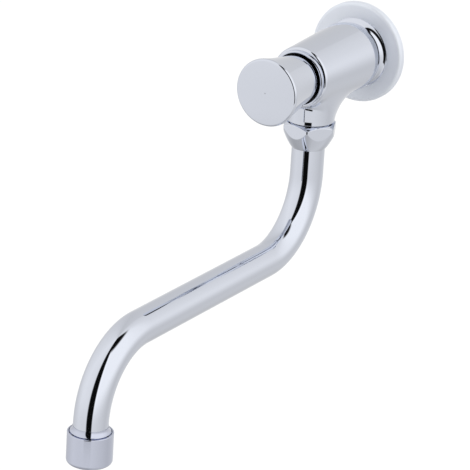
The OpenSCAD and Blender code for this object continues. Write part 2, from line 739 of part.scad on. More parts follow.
// Nozzle screwed onto the spout's end
module nozzle() {
    r = nozzle_d / 2;
    thread_r = nozzle_thread_d / 2;
    seat_r = housing_d / 2 + play;
    color(chrome) mouth() turned(concat([[thread_r, nozzle_top_z]],
        arc([r - nozzle_rim_r, nozzle_top_z - nozzle_rim_r], nozzle_rim_r, 90, 0),
        arc([r - nozzle_edge_r, nozzle_low_z + nozzle_edge_r], nozzle_edge_r, 0, -90),
        [[mouth_d / 2, nozzle_low_z], [mouth_d / 2, nozzle_low_z + mouth_lip]],
        [[seat_r, nozzle_low_z + mouth_lip], [seat_r, ledge_z], [thread_r, ledge_z]]));
}

module nozzle_washer() {
    color(rubber) mouth()
        ring(2 * tube_bore_r, nozzle_thread_d - 0.2, housing_top_z, housing_top_z + nozzle_washer_t);
}

// Cup of the aerator with a square grid across its mouth
module aerator_housing() {
    inner_r = housing_d / 2 - housing_wall;
    flange_r = nozzle_thread_d / 2 - 0.1;
    pitch = cell_w + cell_bar;
    cells = floor((2 * inner_r - cell_bar) / pitch / 2);
    reach_in = inner_r - 0.4;
    color(grey_plastic) mouth() difference() {
        turned([[0, housing_low_z], [housing_d / 2, housing_low_z], [housing_d / 2, ledge_z],
                [flange_r, ledge_z], [flange_r, housing_top_z], [inner_r, housing_top_z],
                [inner_r, housing_low_z + grid_h], [0, housing_low_z + grid_h]]);
        for (i = [-cells:cells]) {
            for (j = [-cells:cells]) {
                if (norm([abs(i) * pitch + cell_w / 2, abs(j) * pitch + cell_w / 2]) < reach_in) {
                    translate([i * pitch - cell_w / 2, j * pitch - cell_w / 2, housing_low_z - 1])
                        cube([cell_w, cell_w, grid_h + 2]);
                }
            }
        }
    }
}

// Disc that breaks the flow into jets
module aerator_diffuser() {
    r = housing_d / 2 - housing_wall - play;
    high = housing_top_z - screen_depth;
    low = housing_low_z + grid_h;
    color(white_plastic) mouth() difference() {
        union() {
            turned([[0, high - 1.4], [r, high - 1.4], [r, high], [r - 1, high],
                    [r - 1.3, high - 0.5], [0, high - 0.2]]);
            ring(2 * r - 1.8, 2 * r, low, high - 1);
        }
        for (i = [0:11]) {
            rotate(30 * i) translate([r - 2.4, 0, 0]) hole(1.3, high - 3, high + 1);
        }
    }
}

// Perforated steel disc on top of the aerator
module aerator_screen() {
    r = housing_d / 2 - housing_wall - play;
    low = housing_top_z - screen_depth;
    color(steel) mouth() difference() {
        hole(2 * r, low, low + screen_t);
        for (k = [0:3]) {
            for (i = [0:max(6 * k, 1) - 1]) {
                rotate(i * 60 / max(k, 1)) translate([2 * k, 0, 0]) hole(1.2, low - 1, low + screen_t + 1);
            }
        }
    }
}

valve_body();
wall_flange();
flange_gasket();
inlet_strainer();
cartridge();
cartridge_rear_seal();
cartridge_front_seal();
gland_nut();
spindle_seal();
timing_pin();
bezel_ring();
union_nut();
slip_ring();
return_spring();
push_button();
button_core();
spindle();
spindle_locknut();
piston();
piston_lip_seal();
circlip();
valve_disc();
valve_washer();
valve_nut();
spout_tube();
spout_collar();
spout_o_rings();
spout_end();
nozzle();
nozzle_washer();
aerator_housing();
aerator_diffuser();
aerator_screen();
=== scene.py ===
"""Looks of a self-closing wall tap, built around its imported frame. Metres, the wall is the plane y = 0."""

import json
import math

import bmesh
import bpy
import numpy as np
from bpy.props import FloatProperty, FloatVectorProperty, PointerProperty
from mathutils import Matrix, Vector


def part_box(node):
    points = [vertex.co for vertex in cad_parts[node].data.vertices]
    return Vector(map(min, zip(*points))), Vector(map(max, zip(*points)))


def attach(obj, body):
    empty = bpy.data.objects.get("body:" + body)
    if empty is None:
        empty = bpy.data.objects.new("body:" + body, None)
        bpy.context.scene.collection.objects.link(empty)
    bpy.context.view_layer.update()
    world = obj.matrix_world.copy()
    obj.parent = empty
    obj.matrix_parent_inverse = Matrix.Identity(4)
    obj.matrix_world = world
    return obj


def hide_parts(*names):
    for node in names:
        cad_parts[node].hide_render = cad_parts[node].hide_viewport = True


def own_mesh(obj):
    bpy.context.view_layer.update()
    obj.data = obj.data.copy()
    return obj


bl_info = {
    "name": "Self-closing wall tap",
    "version": (1, 0, 0),
    "blender": (4, 5, 0),
    "location": "View3D > Sidebar > Wall Tap",
    "description": "Chromed push-button wall tap with a swivelling tube spout",
    "category": "Object",
}

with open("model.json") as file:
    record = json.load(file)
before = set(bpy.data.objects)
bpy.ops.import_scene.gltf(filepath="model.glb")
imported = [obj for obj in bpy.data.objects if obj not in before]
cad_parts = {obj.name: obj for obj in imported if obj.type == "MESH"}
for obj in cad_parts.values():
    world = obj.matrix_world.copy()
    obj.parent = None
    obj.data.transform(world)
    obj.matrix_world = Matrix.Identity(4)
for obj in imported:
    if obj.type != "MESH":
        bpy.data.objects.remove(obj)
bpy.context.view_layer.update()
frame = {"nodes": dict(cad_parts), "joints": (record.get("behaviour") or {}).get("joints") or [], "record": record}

MM = 0.001
TURN = 2 * math.pi

# Fineness of the meshes
COLUMNS = 192
ARC_STEPS = 8
SUPPORT = 0.06 * MM
SHARP_ANGLE = math.radians(32)


def linear(hex_code):
    """Linear RGBA of an sRGB colour such as #C0C8D0."""
    levels = [int(hex_code[i:i + 2], 16) / 255 for i in (1, 3, 5)]
    return [x / 12.92 if x <= 0.04045 else ((x + 0.055) / 1.055) ** 2.4 for x in levels] + [1.0]


def length(name, text, millimetres, low=0.0, high=400.0):
    """A size in the sidebar, given here in millimetres."""
    return FloatProperty(name=name, description=text, default=millimetres * MM, min=low * MM,
                         max=high * MM, precision=5, unit="LENGTH", subtype="DISTANCE")


def angle(name, text, degrees):
    """An angle in the sidebar, given here in degrees."""
    return FloatProperty(name=name, description=text, default=math.radians(degrees), min=-math.pi,
                         max=math.pi, unit="ROTATION", subtype="ANGLE")


def tint(name, text, hex_code):
    """A colour in the sidebar."""
    return FloatVectorProperty(name=name, description=text, default=linear(hex_code), size=4, min=0,
                               max=1, subtype="COLOR")


class WallTapSizes(bpy.types.PropertyGroup):
    """Sizes that the frame's boxes do not give."""

    front_diameter: length("Body front", "Diameter of the body at its front face", 33.5)
    rear_diameter: length("Body rear", "Diameter of the body's cone at the flange", 39.7)
    front_edge: length("Front edge", "Radius of the body's front edge", 1.6)
    bevel_start: length("Rear bevel start", "Height of the barrel's rear edge over the flange", 4.9)
    bevel_length: length("Rear bevel length", "Length of the bevel at the barrel's rear", 6.1)
    bevel_drop: length("Rear bevel depth", "Depth of the bevel at the barrel's rear", 1.37)
    bevel_round: length("Rear bevel rounding", "Rounding where the bevel meets the cone", 14)
    foot_radius: length("Foot", "Radius of the coved foot on the flange", 19.75)
    foot_cove: length("Foot cove", "Radius of the foot's hollow", 3.9)
    outlet_setback: length("Outlet setback", "Outlet's axis behind the front face", 14.8)
    neck_diameter: length("Neck", "Diameter of the outlet neck", 25.8)
    neck_drop: length("Neck drop", "Neck's lower edge under the body's axis", 26.9)
    neck_edge: length("Neck edge", "Radius of the neck's lower edge", 0.4)
    neck_collar: length("Neck collar", "Height of the neck's upright collar over its lower edge", 1.8)
    neck_draft: angle("Neck draft", "Lean of the neck's sides above the collar", 3.8)
    nut_groove: length("Groove", "Gap between the neck and the union nut", 0.75)
    side_blend: length("Side blend", "Blend radius between neck and body sides", 32)
    rear_blend: length("Rear blend", "Blend radius between neck and body behind it", 13)
    sheet: length("Flange sheet", "Sheet thickness of the wall flange", 1.2)
    flange_rim: length("Flange rim", "Radius of the flange's rolled rim", 1.8)
    thread_pitch: length("Inlet thread pitch", "Pitch of the half-inch pipe thread", 1.814)
    thread_depth: length("Inlet thread depth", "Depth of the half-inch pipe thread", 1.16)
    shank_diameter: length("Button shank", "Diameter of the button at the bezel ring", 26.6)
    flare_sag: length("Flare hollow", "Hollow of the button's flare against a straight cone", 0.42)
    button_edge: length("Button edge", "Radius of the button's front edge", 1.3)
    dome: length("Button dome", "Rise of the button's face", 0.8)
    nut_flats: length("Union nut", "Width of the union nut across its flats", 27)
    nut_corner: length("Nut corners", "Rounding of the nut's corners", 0.2)
    nut_across: length("Nut across", "Diameter to which the nut's corners are turned down", 30.6)
    nut_chamfer: length("Nut chamfer", "Height of the nut's upper chamfer at its corners", 1.5)
    nut_turn: angle("Nut turn", "Angle at which the nut is tightened", -5)
    nut_cone: angle("Nut cone", "Angle of the nut's curved cone at its tip, against its flat end", 52.7)
    nut_cone_top: length("Nut cone top", "Height of the nut's cone at its corners", 11.4)
    tube_wall: length("Tube wall", "Wall of the spout's tube", 1.0)
    bend: length("Bend", "Radius of the spout's bends", 40)
    end_leg: length("End leg", "Straight end of the tube under the second bend", 7.3)
    bell_edge: length("Bell edge", "Rounding of the bell's edge above the nozzle", 0.15)
    nozzle_edge: length("Nozzle edge", "Radius of the nozzle's lower edge", 2.2)


class WallTapFinish(bpy.types.PropertyGroup):
    """Colours and polish of the tap."""

    chrome: tint("Chrome", "Colour of the chrome plate", "#DCE0EA")
    # The nozzle's chrome is the same chrome painted darker and bluer: painted shade for the darker surroundings
    # that the low nozzle and spout end mirror.
    shaded_nozzle_chrome: tint("Nozzle chrome", "Colour of the darker plate on the nozzle and the spout's end", "#CDD1E0")
    haze: FloatProperty(name="Chrome haze", description="Roughness of the polished chrome",
                        default=0.045, min=0, max=1, subtype="FACTOR")
    satin_tint: tint("Satin chrome", "Colour of the flange's satin plate", "#E9EDF5")
    satin: FloatProperty(name="Satin", description="Roughness of the flange's satin face",
                         default=0.5, min=0, max=1, subtype="FACTOR")
    brass: tint("Brass", "Colour of the turned brass inside", "#C9A660")
    steel: tint("Steel", "Colour of the stainless steel inside", "#C3C6CA")


class WallTapStage(bpy.types.PropertyGroup):
    """Floor, light and camera."""

    floor_drop: length("Floor drop", "Floor under the nozzle", 300, 0, 2000)
    floor_width: length("Floor width", "Width of the floor", 8000, 500, 20000)
    sun: FloatProperty(name="Sun", description="Strength of the soft light from above", default=0.9,
                       min=0, max=10)
    sun_spread: angle("Sun spread", "Width of the soft light, seen from the tap", 25)
    floor_tint: tint("Floor", "Colour of the floor", "#F4F4F4")
    fill: FloatProperty(name="Fill", description="Strength of the even light from all sides",
                        default=0.9, min=0, max=10)


# Frame measures

def width(node):
    """Width of a CAD node along X."""
    low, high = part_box(node)
    return high.x - low.x


def stretch(node):
    """Nearest and farthest distance of a CAD node from the wall."""
    low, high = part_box(node)
    return -high.y, -low.y


def heights(node):
    """Lowest and highest z of a CAD node."""
    low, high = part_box(node)
    return low.z, high.z


# Mesh helpers

def arc(centre, radius, start, end, steps=ARC_STEPS):
    """Points on an arc from one angle in degrees to another."""
    turns = np.radians(np.linspace(start, end, steps + 1))
    return [(centre[0] + radius * math.cos(w), centre[1] + radius * math.sin(w)) for w in turns]


def rounded(points, steps=ARC_STEPS):
    """Closed outline in which each corner given as (r, h, radius) becomes an arc.

    A short run beside each arc keeps the shading of the straight stretches even."""
    out = []
    for i, point in enumerate(points):
        corner = np.array(point[:2], float)
        if len(point) < 3:
            out.append(tuple(corner))
            continue
        before = np.array(points[i - 1][:2], float) - corner
        after = np.array(points[(i + 1) % len(points)][:2], float) - corner
        before /= np.linalg.norm(before)
        after /= np.linalg.norm(after)
        half = math.acos(np.clip(before @ after, -1, 1)) / 2
        middle = before + after
        centre = corner + middle / np.linalg.norm(middle) * point[2] / math.sin(half)
        start = corner + before * point[2] / math.tan(half)
        end = corner + after * point[2] / math.tan(half)
        first = math.atan2(*(start - centre)[::-1])
        sweep = (math.atan2(*(end - centre)[::-1]) - first + math.pi) % TURN - math.pi
        out.append(tuple(start + before * SUPPORT))
        out += arc(centre, point[2], math.degrees(first), math.degrees(first + sweep), steps)
        out.append(tuple(end + after * SUPPORT))
    return out


def on_barrel(points):
    """Puts points turned about +Z on the barrel's axis, their height out from the wall."""
    return np.stack([points[:, 0], -points[:, 2], points[:, 1]], 1)


def upright(y):
    """Puts points turned about +Z on the vertical axis at y."""
    def place(points):
        return points + np.array([0, y, 0])
    return place


def ring_faces(first, second, closed=True):
    """Faces between two rings of vertex numbers; a ring of one is a pole."""
    n = max(len(first), len(second))
    faces = []
    for i in range(n if closed else n - 1):
        j = (i + 1) % n
        if len(first) == 1:
            faces.append((first[0], second[j], second[i]))
        elif len(second) == 1:
            faces.append((first[i], first[j], second[0]))
        else:
            faces.append((first[i], first[j], second[j], second[i]))
    return faces


def revolve(outline, place, angles=None, closed=True):
    """Vertices and faces of a turned shape. A radius may be one number or one for each angle."""
    angles = np.arange(COLUMNS) * TURN / COLUMNS if angles is None else angles
    rows, rings, count = [], [], 0
    for radius, height in outline:
        radius = np.asarray(radius, float)
        if radius.ndim == 0 and radius < 1e-9:
            rows.append(np.array([[0, 0, height]]))
        else:
            rows.append(np.stack([radius * np.cos(angles), radius * np.sin(angles),
                                  height + 0 * angles], 1))
        rings.append(np.arange(count, count + len(rows[-1])))
        count += len(rows[-1])
    pairs = list(zip(rings, rings[1:] + rings[:1])) if closed else list(zip(rings, rings[1:]))
    faces = [face for a, b in pairs for face in ring_faces(a, b)]
    return place(np.concatenate(rows)), faces


def make_mesh(name, points, faces):
    """Smooth mesh object with its faces outwards and its hard edges kept."""
    mesh = bpy.data.meshes.new(name)
    mesh.from_pydata([tuple(p) for p in points], [], [tuple(int(i) for i in f) for f in faces])
    bm = bmesh.new()
    bm.from_mesh(mesh)
    bmesh.ops.remove_doubles(bm, verts=bm.verts, dist=1e-7)
    bmesh.ops.recalc_face_normals(bm, faces=bm.faces)
    bm.to_mesh(mesh)
    bm.free()
    obj = bpy.data.objects.new(name, mesh)
    bpy.context.scene.collection.objects.link(obj)
    shade(mesh)
    return obj


def shade(mesh):
    mesh.shade_smooth()
    mesh.set_sharp_from_angle(angle=SHARP_ANGLE)


def finish_piece(obj, material, slot, body, *nodes):
    """Gives a piece its material and body, and lets it stand for its CAD nodes."""
    obj.data.materials.clear()
    obj.data.materials.append(material)
    if nodes:
        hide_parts(*nodes)
    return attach(obj, body)


def as_mesh(obj):
    """Turns an object with modifiers into one plain mesh at the origin."""
    graph = bpy.context.evaluated_depsgraph_get()
    mesh = bpy.data.meshes.new_from_object(obj.evaluated_get(graph), depsgraph=graph)
    obj.modifiers.clear()
    obj.data = mesh
    return obj


# Materials

def add(tree, kind, inputs=None, **settings):
    """Adds a node; inputs gives each socket a value or another node's output."""
    node = tree.nodes.new(kind)
    for key, value in settings.items():
        setattr(node, key, value)
    for key, value in (inputs or {}).items():
        if isinstance(value, bpy.types.NodeSocket):
            tree.links.new(value, node.inputs[key])
        else:
            node.inputs[key].default_value = value
    return node


def new_material(name):
    """Empty node material and its tree, made once."""
    material = bpy.data.materials.new(name)
    material.use_nodes = True
    material.node_tree.nodes.clear()
    return material, material.node_tree


def close_material(tree, shader):
    add(tree, "ShaderNodeOutputMaterial", {"Surface": shader.outputs[0]})


def polished_chrome(name, colour, haze_level):
    """Chrome plate on buffed brass: a near mirror, a little blue, with buffing waves too shallow to see."""
    material, tree = new_material(name)
    place = add(tree, "ShaderNodeTexCoord").outputs["Object"]
    waves = add(tree, "ShaderNodeTexNoise", {"Vector": place, "Scale": 1 / (9 * MM), "Detail": 1.0})
    bump = add(tree, "ShaderNodeBump", {"Height": waves.outputs[0], "Strength": 0.15,
                                        "Distance": 0.02 * MM})
    wipes = add(tree, "ShaderNodeTexNoise", {"Vector": place, "Scale": 1 / (22 * MM), "Detail": 3.0})
    haze = add(tree, "ShaderNodeMapRange", {"Value": wipes.outputs[0], "From Min": 0.3, "From Max": 0.7,
                                            "To Min": haze_level * 0.7, "To Max": haze_level * 1.3})
    shader = add(tree, "ShaderNodeBsdfPrincipled", {
        "Base Color": colour, "Metallic": 1.0, "Roughness": haze.outputs[0],
        "Normal": bump.outputs[0]})
    close_material(tree, shader)
    return material


def satin_chrome(finish):
    """Chrome plate on a brushed disc: it blurs what it mirrors, and its grain runs round the wall's axis."""
    material, tree = new_material("satin_chrome")
    place = add(tree, "ShaderNodeTexCoord").outputs["Object"]
    rings = add(tree, "ShaderNodeTexWave", {"Vector": place, "Scale": TURN / (0.3 * MM) / 20,
                                            "Distortion": 0.3, "Detail": 1.0},
                wave_type="RINGS", rings_direction="Y")
    bump = add(tree, "ShaderNodeBump", {"Height": rings.outputs["Fac"], "Strength": 0.1,
                                        "Distance": 0.004 * MM})
    shader = add(tree, "ShaderNodeBsdfPrincipled", {
        "Base Color": finish.satin_tint, "Metallic": 0.6, "Roughness": finish.satin, "Normal": bump.outputs[0]})
    close_material(tree, shader)
    return material


def turned_metal(name, colour, roughness, pitch):
    """Metal from the lathe: fine rings left by the tool, and slightly uneven gloss."""
    material, tree = new_material(name)
    place = add(tree, "ShaderNodeTexCoord").outputs["Object"]
    rings = add(tree, "ShaderNodeTexWave", {"Vector": place, "Scale": TURN / pitch / 20,
                                            "Distortion": 0.4, "Detail": 1.0},
                wave_type="BANDS", bands_direction="Y")
    bump = add(tree, "ShaderNodeBump", {"Height": rings.outputs["Fac"], "Strength": 0.3,
                                        "Distance": 0.02 * MM})
    stains = add(tree, "ShaderNodeTexNoise", {"Vector": place, "Scale": 1 / (5 * MM), "Detail": 4.0})
    gloss = add(tree, "ShaderNodeMapRange", {"Value": stains.outputs[0], "To Min": roughness * 0.7,
                                             "To Max": roughness * 1.4})
    shader = add(tree, "ShaderNodeBsdfPrincipled", {
        "Base Color": colour, "Metallic": 1.0, "Roughness": gloss.outputs[0],
        "Normal": bump.outputs[0]})
    close_material(tree, shader)
    return material


def moulded(name, hex_code, shade_code, roughness, grain, depth, ior=1.5):
    """Plastic, rubber or foam: an even colour with mottling, and a grain of the given size."""
    material, tree = new_material(name)
    place = add(tree, "ShaderNodeTexCoord").outputs["Object"]
    mottle = add(tree, "ShaderNodeTexNoise", {"Vector": place, "Scale": 1 / (4 * MM), "Detail": 3.0})
    colour = add(tree, "ShaderNodeMix", {"Factor": mottle.outputs[0], "A": linear(hex_code),
                                         "B": linear(shade_code)}, data_type="RGBA")
    grains = add(tree, "ShaderNodeTexNoise", {"Vector": place, "Scale": 1 / grain, "Detail": 2.0})
    bump = add(tree, "ShaderNodeBump", {"Height": grains.outputs[0], "Strength": 0.5, "Distance": depth})
    shader = add(tree, "ShaderNodeBsdfPrincipled", {
        "Base Color": colour.outputs["Result"], "Roughness": roughness, "IOR": ior,
        "Normal": bump.outputs[0]})
    close_material(tree, shader)
    return material


def slot_materials():
    """One material for each of the record's slots."""
    finish = bpy.context.scene.wall_tap_finish
    if "polished_chrome" not in bpy.data.materials:
        polished_chrome("polished_chrome", finish.chrome, finish.haze)
        # A darker, bluer copy of the chrome for the nozzle and the spout's end: painted shade for their darker
        # reflections.
        polished_chrome("shaded_nozzle_chrome", finish.shaded_nozzle_chrome, finish.haze)
        satin_chrome(finish)
        turned_metal("turned_brass", finish.brass, 0.28, 0.25 * MM)
        turned_metal("drawn_stainless_steel", finish.steel, 0.3, 0.15 * MM)
        moulded("nitrile_rubber", "#232325", "#1B1B1D", 0.55, 0.2 * MM, 0.01 * MM, 1.52)
        moulded("closed_cell_foam", "#3A3A3C", "#2C2C2E", 0.85, 0.5 * MM, 0.12 * MM, 1.45)
        moulded("white_acetal", "#E6E6E0", "#DDDDD6", 0.38, 0.3 * MM, 0.006 * MM, 1.48)
        moulded("grey_acetal", "#A9AEB3", "#9FA4A9", 0.42, 0.3 * MM, 0.006 * MM, 1.48)
        moulded("black_acetal", "#1C1C1F", "#161618", 0.4, 0.3 * MM, 0.006 * MM, 1.48)
    names = {"chrome": "polished_chrome", "brass": "turned_brass", "steel": "drawn_stainless_steel",
             "rubber": "nitrile_rubber", "foam": "closed_cell_foam", "white_plastic": "white_acetal",
             "grey_plastic": "grey_acetal", "black_plastic": "black_acetal"}
    return {slot: bpy.data.materials[name] for slot, name in names.items()}


# The cast body

def cone_radius(sizes, out):
    """Radius of the body's cone at a distance out from the wall."""
    start = stretch("wall_flange")[1]
    share = (out - start) / (stretch("valve_body")[1] - start)
    return (sizes.rear_diameter + (sizes.front_diameter - sizes.rear_diameter) * share) / 2


def body_slope(sizes):
    """Angle of the cone's side against the barrel's axis."""
    run = stretch("valve_body")[1] - stretch("wall_flange")[1]
    return math.atan((sizes.rear_diameter - sizes.front_diameter) / 2 / run)


def neck_blend(sizes, azimuths, rows):
    """Rows of points on the blend, from the cone down to the neck's lower edge.

    A ball rolls between the cone and the neck. Azimuth runs from +X, with 90 degrees towards the wall.
    The ball's radius changes from the sides to the rear, and in front it stays behind the body's edge."""
    slope = body_slope(sizes)
    front = stretch("valve_body")[1]
    axis = front - sizes.outlet_setback
    neck = sizes.neck_diameter / 2
    cos, sin = np.cos(azimuths), np.sin(azimuths)
    free = sizes.side_blend * cos ** 2 + sizes.rear_blend * sin ** 2
    room = (sizes.outlet_setback - sizes.front_edge) / np.maximum(-sin, 0.01) - neck
    radius = (free ** -3 + np.maximum(room, 0.2 * MM) ** -3) ** (-1 / 3)
    x, y = (neck + radius) * cos, (neck + radius) * sin
    rho = cone_radius(sizes, axis - y) + radius / math.cos(slope)
    z = -np.sqrt(rho ** 2 - x ** 2)
    centre = np.stack([x, y - axis, z], 1)
    to_neck = np.stack([-cos, -sin, 0 * cos], 1)
    to_cone = np.stack([-x / rho * math.cos(slope), 0 * x + math.sin(slope), -z / rho * math.cos(slope)], 1)
    span = np.arccos(np.sum(to_neck * to_cone, 1))
    edge_z = sizes.neck_edge - sizes.neck_drop
    low = np.clip((edge_z - z) * np.sin(span) / (radius * to_cone[:, 2]), 0, 1)
    start = np.arcsin(low)
    # Down from the cone come the ball's arc and then the neck's wall
    arc_run, wall_run = radius * (span - start), np.maximum(z - edge_z, 0)
    out = []
    for share in np.linspace(0, 1, rows + 1):
        run = (arc_run + wall_run) * share
        turn = np.maximum(span - run / radius, start)[:, None]
        normal = (np.sin(span[:, None] - turn) * to_neck + np.sin(turn) * to_cone) / np.sin(span)[:, None]
        row = centre + radius[:, None] * normal
        row[:, 2] -= np.maximum(run - arc_run, 0)
        fade = 1 - (turn[:, 0] - start) / (span - start)
        lean = math.tan(sizes.neck_draft) * np.maximum(row[:, 2] - edge_z - sizes.neck_collar, 0) * fade ** 2
        out.append(row - to_neck * lean[:, None])
    return out


def thread_radius(sizes, major, low, high, out, angles):
    """Radius of the inlet's thread at a distance out from the wall, for each angle."""
    phase = (out / sizes.thread_pitch - angles / TURN) % 1
    tooth = np.abs(phase * 2 - 1)
    depth = sizes.thread_depth * np.clip(1.25 * tooth - 0.125, 0, 1)
    fade = min(1, (out - low) / (1.2 * MM), (high - out) / (1.5 * MM))
    return major - depth * max(fade, 0)


def body_rings(sizes, angles):
    """Closed outline of the barrel and the numbers of the rings between which the neck stands."""
    flange_out = stretch("wall_flange")[1]
    rear, front = stretch("valve_body")
    major = width("wall_flange") * 0 + 10.475 * MM
    seat = flange_out - sizes.sheet - 0.2 * MM
    relief = major - 1.1 * MM
    rings = [(major - 1.0 * MM, rear)]
    thread_rows = int((seat - rear) / (0.16 * MM))
    for out in np.linspace(rear + 1.0 * MM, seat, thread_rows):
        rings.append((thread_radius(sizes, major, rear + 1.0 * MM, seat, out, angles), out))
    bevel_start = flange_out + sizes.bevel_start
    bevel_end = bevel_start + sizes.bevel_length
    edge_r = cone_radius(sizes, bevel_end) - sizes.bevel_drop
    foot = arc((sizes.foot_radius, flange_out + sizes.foot_cove), sizes.foot_cove, 262, 200, 20)
    behind = bevel_start - 0.5 * MM
    front_r = cone_radius(sizes, front - sizes.front_edge) - sizes.front_edge
    outline = [(relief, seat), (relief, flange_out), (foot[0][0], flange_out)] + foot
    outline += [(foot[-1][0], behind), (edge_r - 0.7 * MM, behind), (edge_r, bevel_start, 0.25 * MM),
                (cone_radius(sizes, bevel_end), bevel_end, sizes.bevel_round)]
    zone_start = bevel_end + 2.5 * MM
    # rounded() needs the next corner, so the zone's first point closes the list
    part = rounded(outline + [(cone_radius(sizes, zone_start), zone_start)])
    rings += part[:-1]
    first = len(rings)
    cone_end = front - sizes.front_edge * (1 - math.sin(body_slope(sizes)))
    for out in np.linspace(zone_start, cone_end, 44):
        rings.append((cone_radius(sizes, out), out))
    slope = math.degrees(body_slope(sizes))
    rings += arc((front_r, front - sizes.front_edge), sizes.front_edge, slope, 90, 10)[1:]
    last = len(rings) - 1
    bore = width("cartridge_front_seal") / 2 + 0.2 * MM
    inner = width("cartridge_rear_seal") / 2 + 0.15 * MM
    shoulder = stretch("cartridge_front_seal")[0]
    step = stretch("cartridge_rear_seal")[0]
    chamber = stretch("spindle")[0] - frame["joints"][0]["range_m"][1]
    throat = width("inlet_strainer") / 2 - 1.1 * MM
    mouth = width("inlet_strainer") / 2 + 0.05 * MM
    chamber_r = 10 * MM
    rings += [(bore + 0.3 * MM, front), (bore, front - 0.3 * MM), (bore, shoulder), (inner, shoulder),
              (inner, step), (chamber_r, step), (chamber_r, chamber), (throat, chamber),
              (throat, flange_out), (mouth, flange_out), (mouth, rear + 0.5 * MM), (mouth + 0.4 * MM, rear)]
    return rings, first, last


def valve_body_mesh(sizes):
    """The whole casting: the turned barrel, and round its hole the blend, the neck and its bore."""
    angles = np.arange(COLUMNS) * TURN / COLUMNS
    rings, first, last = body_rings(sizes, angles)
    points = []
    for radius, out in rings:
        radius = radius + 0 * angles
        points.append(np.stack([radius * np.cos(angles), radius * np.sin(angles), out + 0 * angles], 1))
    rows = len(points)
    # The neck's hole lies between the rings first and last, from 180 to 360 degrees
    half = COLUMNS // 2
    faces = []
    for k in range(rows):
        n = (k + 1) % rows
        for j in range(COLUMNS):
            if first <= k < last and j >= half:
                continue
            m = (j + 1) % COLUMNS
            faces.append((k * COLUMNS + j, k * COLUMNS + m, n * COLUMNS + m, n * COLUMNS + j))
    # Border of the hole, once round: front ring, +X side, rear ring, -X side
    border = [(last, j) for j in range(half, COLUMNS + 1)]
    border += [(k, COLUMNS) for k in range(last - 1, first, -1)]
    border += [(first, j) for j in range(COLUMNS, half - 1, -1)]
    border += [(k, half) for k in range(first + 1, last)]
    along = np.cumsum([0] + [math.hypot(rings[k + 1][0] - rings[k][0], rings[k + 1][1] - rings[k][1])
                             for k in range(first, last)])
    zone_r = np.array([rings[k][0] for k in range(first, last + 1)])
    zone_out = np.array([rings[k][1] for k in range(first, last + 1)])
    index = np.array([k * COLUMNS + j % COLUMNS for k, j in border])
    edge_turn = np.array([(j / COLUMNS - 0.75) * TURN for k, j in border])
    edge_run = np.array([along[k - first] for k, j in border])
    # Direction of each border point from the neck, on the unrolled cone
    axis = rings[last][1] - sizes.outlet_setback
    mid_r = cone_radius(sizes, axis)
    axis_run = np.interp(axis, zone_out, along)
    sweep = np.linspace(-math.pi, math.pi, 2881)
    top = neck_blend(sizes, sweep, 1)[0]
    top_turn = np.arctan2(top[:, 0], -top[:, 2])
    top_run = np.interp(-top[:, 1], zone_out, along)
    # Azimuth 90 degrees looks towards the wall, where the run along the cone falls
    top_way = np.unwrap(np.arctan2(axis_run - top_run, top_turn * mid_r))
    way = np.arctan2(axis_run - edge_run, edge_turn * mid_r)
    way = (way - top_way[0]) % TURN + top_way[0]
    azimuths = np.interp(way, top_way, sweep)
    blend = neck_blend(sizes, azimuths, 44)
    seam_turn = np.arctan2(blend[0][:, 0], -blend[0][:, 2])
    seam_run = np.interp(-blend[0][:, 1], zone_out, along)
    layers = []
    skin_rows = 30
    for share in np.linspace(0, 1, skin_rows + 1)[1:-1]:
        turn = edge_turn + (seam_turn - edge_turn) * share
        run = edge_run + (seam_run - edge_run) * share
        radius, out = np.interp(run, along, zone_r), np.interp(run, along, zone_out)
        layers.append(np.stack([radius * np.sin(turn), -out, -radius * np.cos(turn)], 1))
    layers += blend
    # Rounded lower edge, then the spigot and the bore
    low = blend[-1]
    centre = np.array([0, -axis, 0])
    flat = low - centre
    reach = np.hypot(flat[:, 0], flat[:, 1])
    away = np.stack([flat[:, 0] / reach, flat[:, 1] / reach, 0 * reach], 1)
    level = np.array([0, 0, 1])
    for w in np.radians(np.linspace(0, 90, 9))[1:]:
        ring = centre + away * (reach - sizes.neck_edge * (1 - math.cos(w)))[:, None]
        layers.append(ring + level * (low[:, 2] - sizes.neck_edge * math.sin(w))[:, None])
    spigot_low, _ = heights("valve_body")
    spigot = width("slip_ring") / 2 + 0.1 * MM
    bore = width("spout_o_rings") / 2 + 0.03 * MM
    bore_top = heights("spout_collar")[1] + 3 * MM
    for radius, z in ((spigot, -sizes.neck_drop), (spigot, spigot_low + 0.5 * MM),
                      (spigot - 0.5 * MM, spigot_low), (bore + 0.4 * MM, spigot_low),
                      (bore, spigot_low + 0.4 * MM), (bore, bore_top)):
        layers.append(centre + away * radius + level * z)
    barrel = on_barrel(np.concatenate(points))
    count = len(barrel)
    previous = index
    for k in range(len(layers)):
        ring = np.arange(count + k * len(index), count + (k + 1) * len(index))
        faces += ring_faces(previous, ring)
        previous = ring
    pole = count + len(layers) * len(index)
    faces += ring_faces(previous, [pole])
    return np.concatenate([barrel] + layers + [[centre + level * bore_top]]), faces


class WALLTAP_OT_body(bpy.types.Operator):
    """Make the chromed casting with its threaded inlet and blended outlet neck"""

    bl_idname = "wall_tap.body"
    bl_label = "Valve body"

    def execute(self, context):
        sizes = context.scene.wall_tap_sizes
        body = make_mesh("tap_casting", *valve_body_mesh(sizes))
        finish_piece(body, slot_materials()["chrome"], "chrome", "tap_body", "valve_body")
        return {"FINISHED"}


